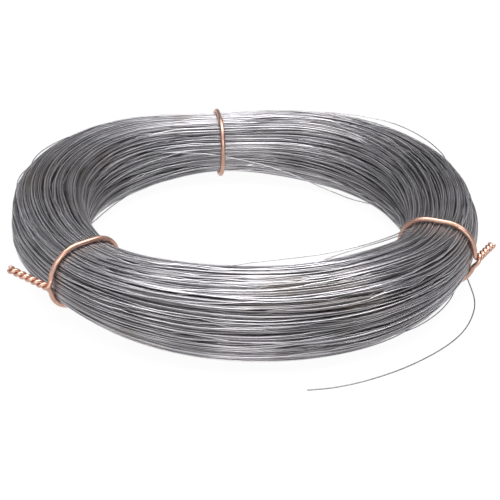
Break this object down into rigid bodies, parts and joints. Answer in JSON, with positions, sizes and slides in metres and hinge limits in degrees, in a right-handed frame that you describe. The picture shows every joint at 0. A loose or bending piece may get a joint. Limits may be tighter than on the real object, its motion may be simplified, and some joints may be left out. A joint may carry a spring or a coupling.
{
  "type": "coil of steel wire",
  "caption": "Flat coil of fine drawn steel wire with an open bore, bound round by twisted copper tie wires, with one free end lying beside it.",
  "frame": {"origin": "centre of the coil's bore at half the pack's height; the underside is 16.6 mm below it", "axes": "+Z along the bore, up as the coil lies; +X to the right and +Y away from the viewer of the picture"},
  "size_m": [0.2054, 0.2252, 0.0332],
  "materials": {
    "drawn_steel": "bright drawn wire",
    "copper_wire": "bare copper tie wire"
  },
  "bodies": {
    "root": {"wire_coil": "drawn_steel", "tie_far": "copper_wire", "tie_left": "copper_wire", "tie_right": "copper_wire", "loose_end": "drawn_steel"}
  },
  "joints": []
}
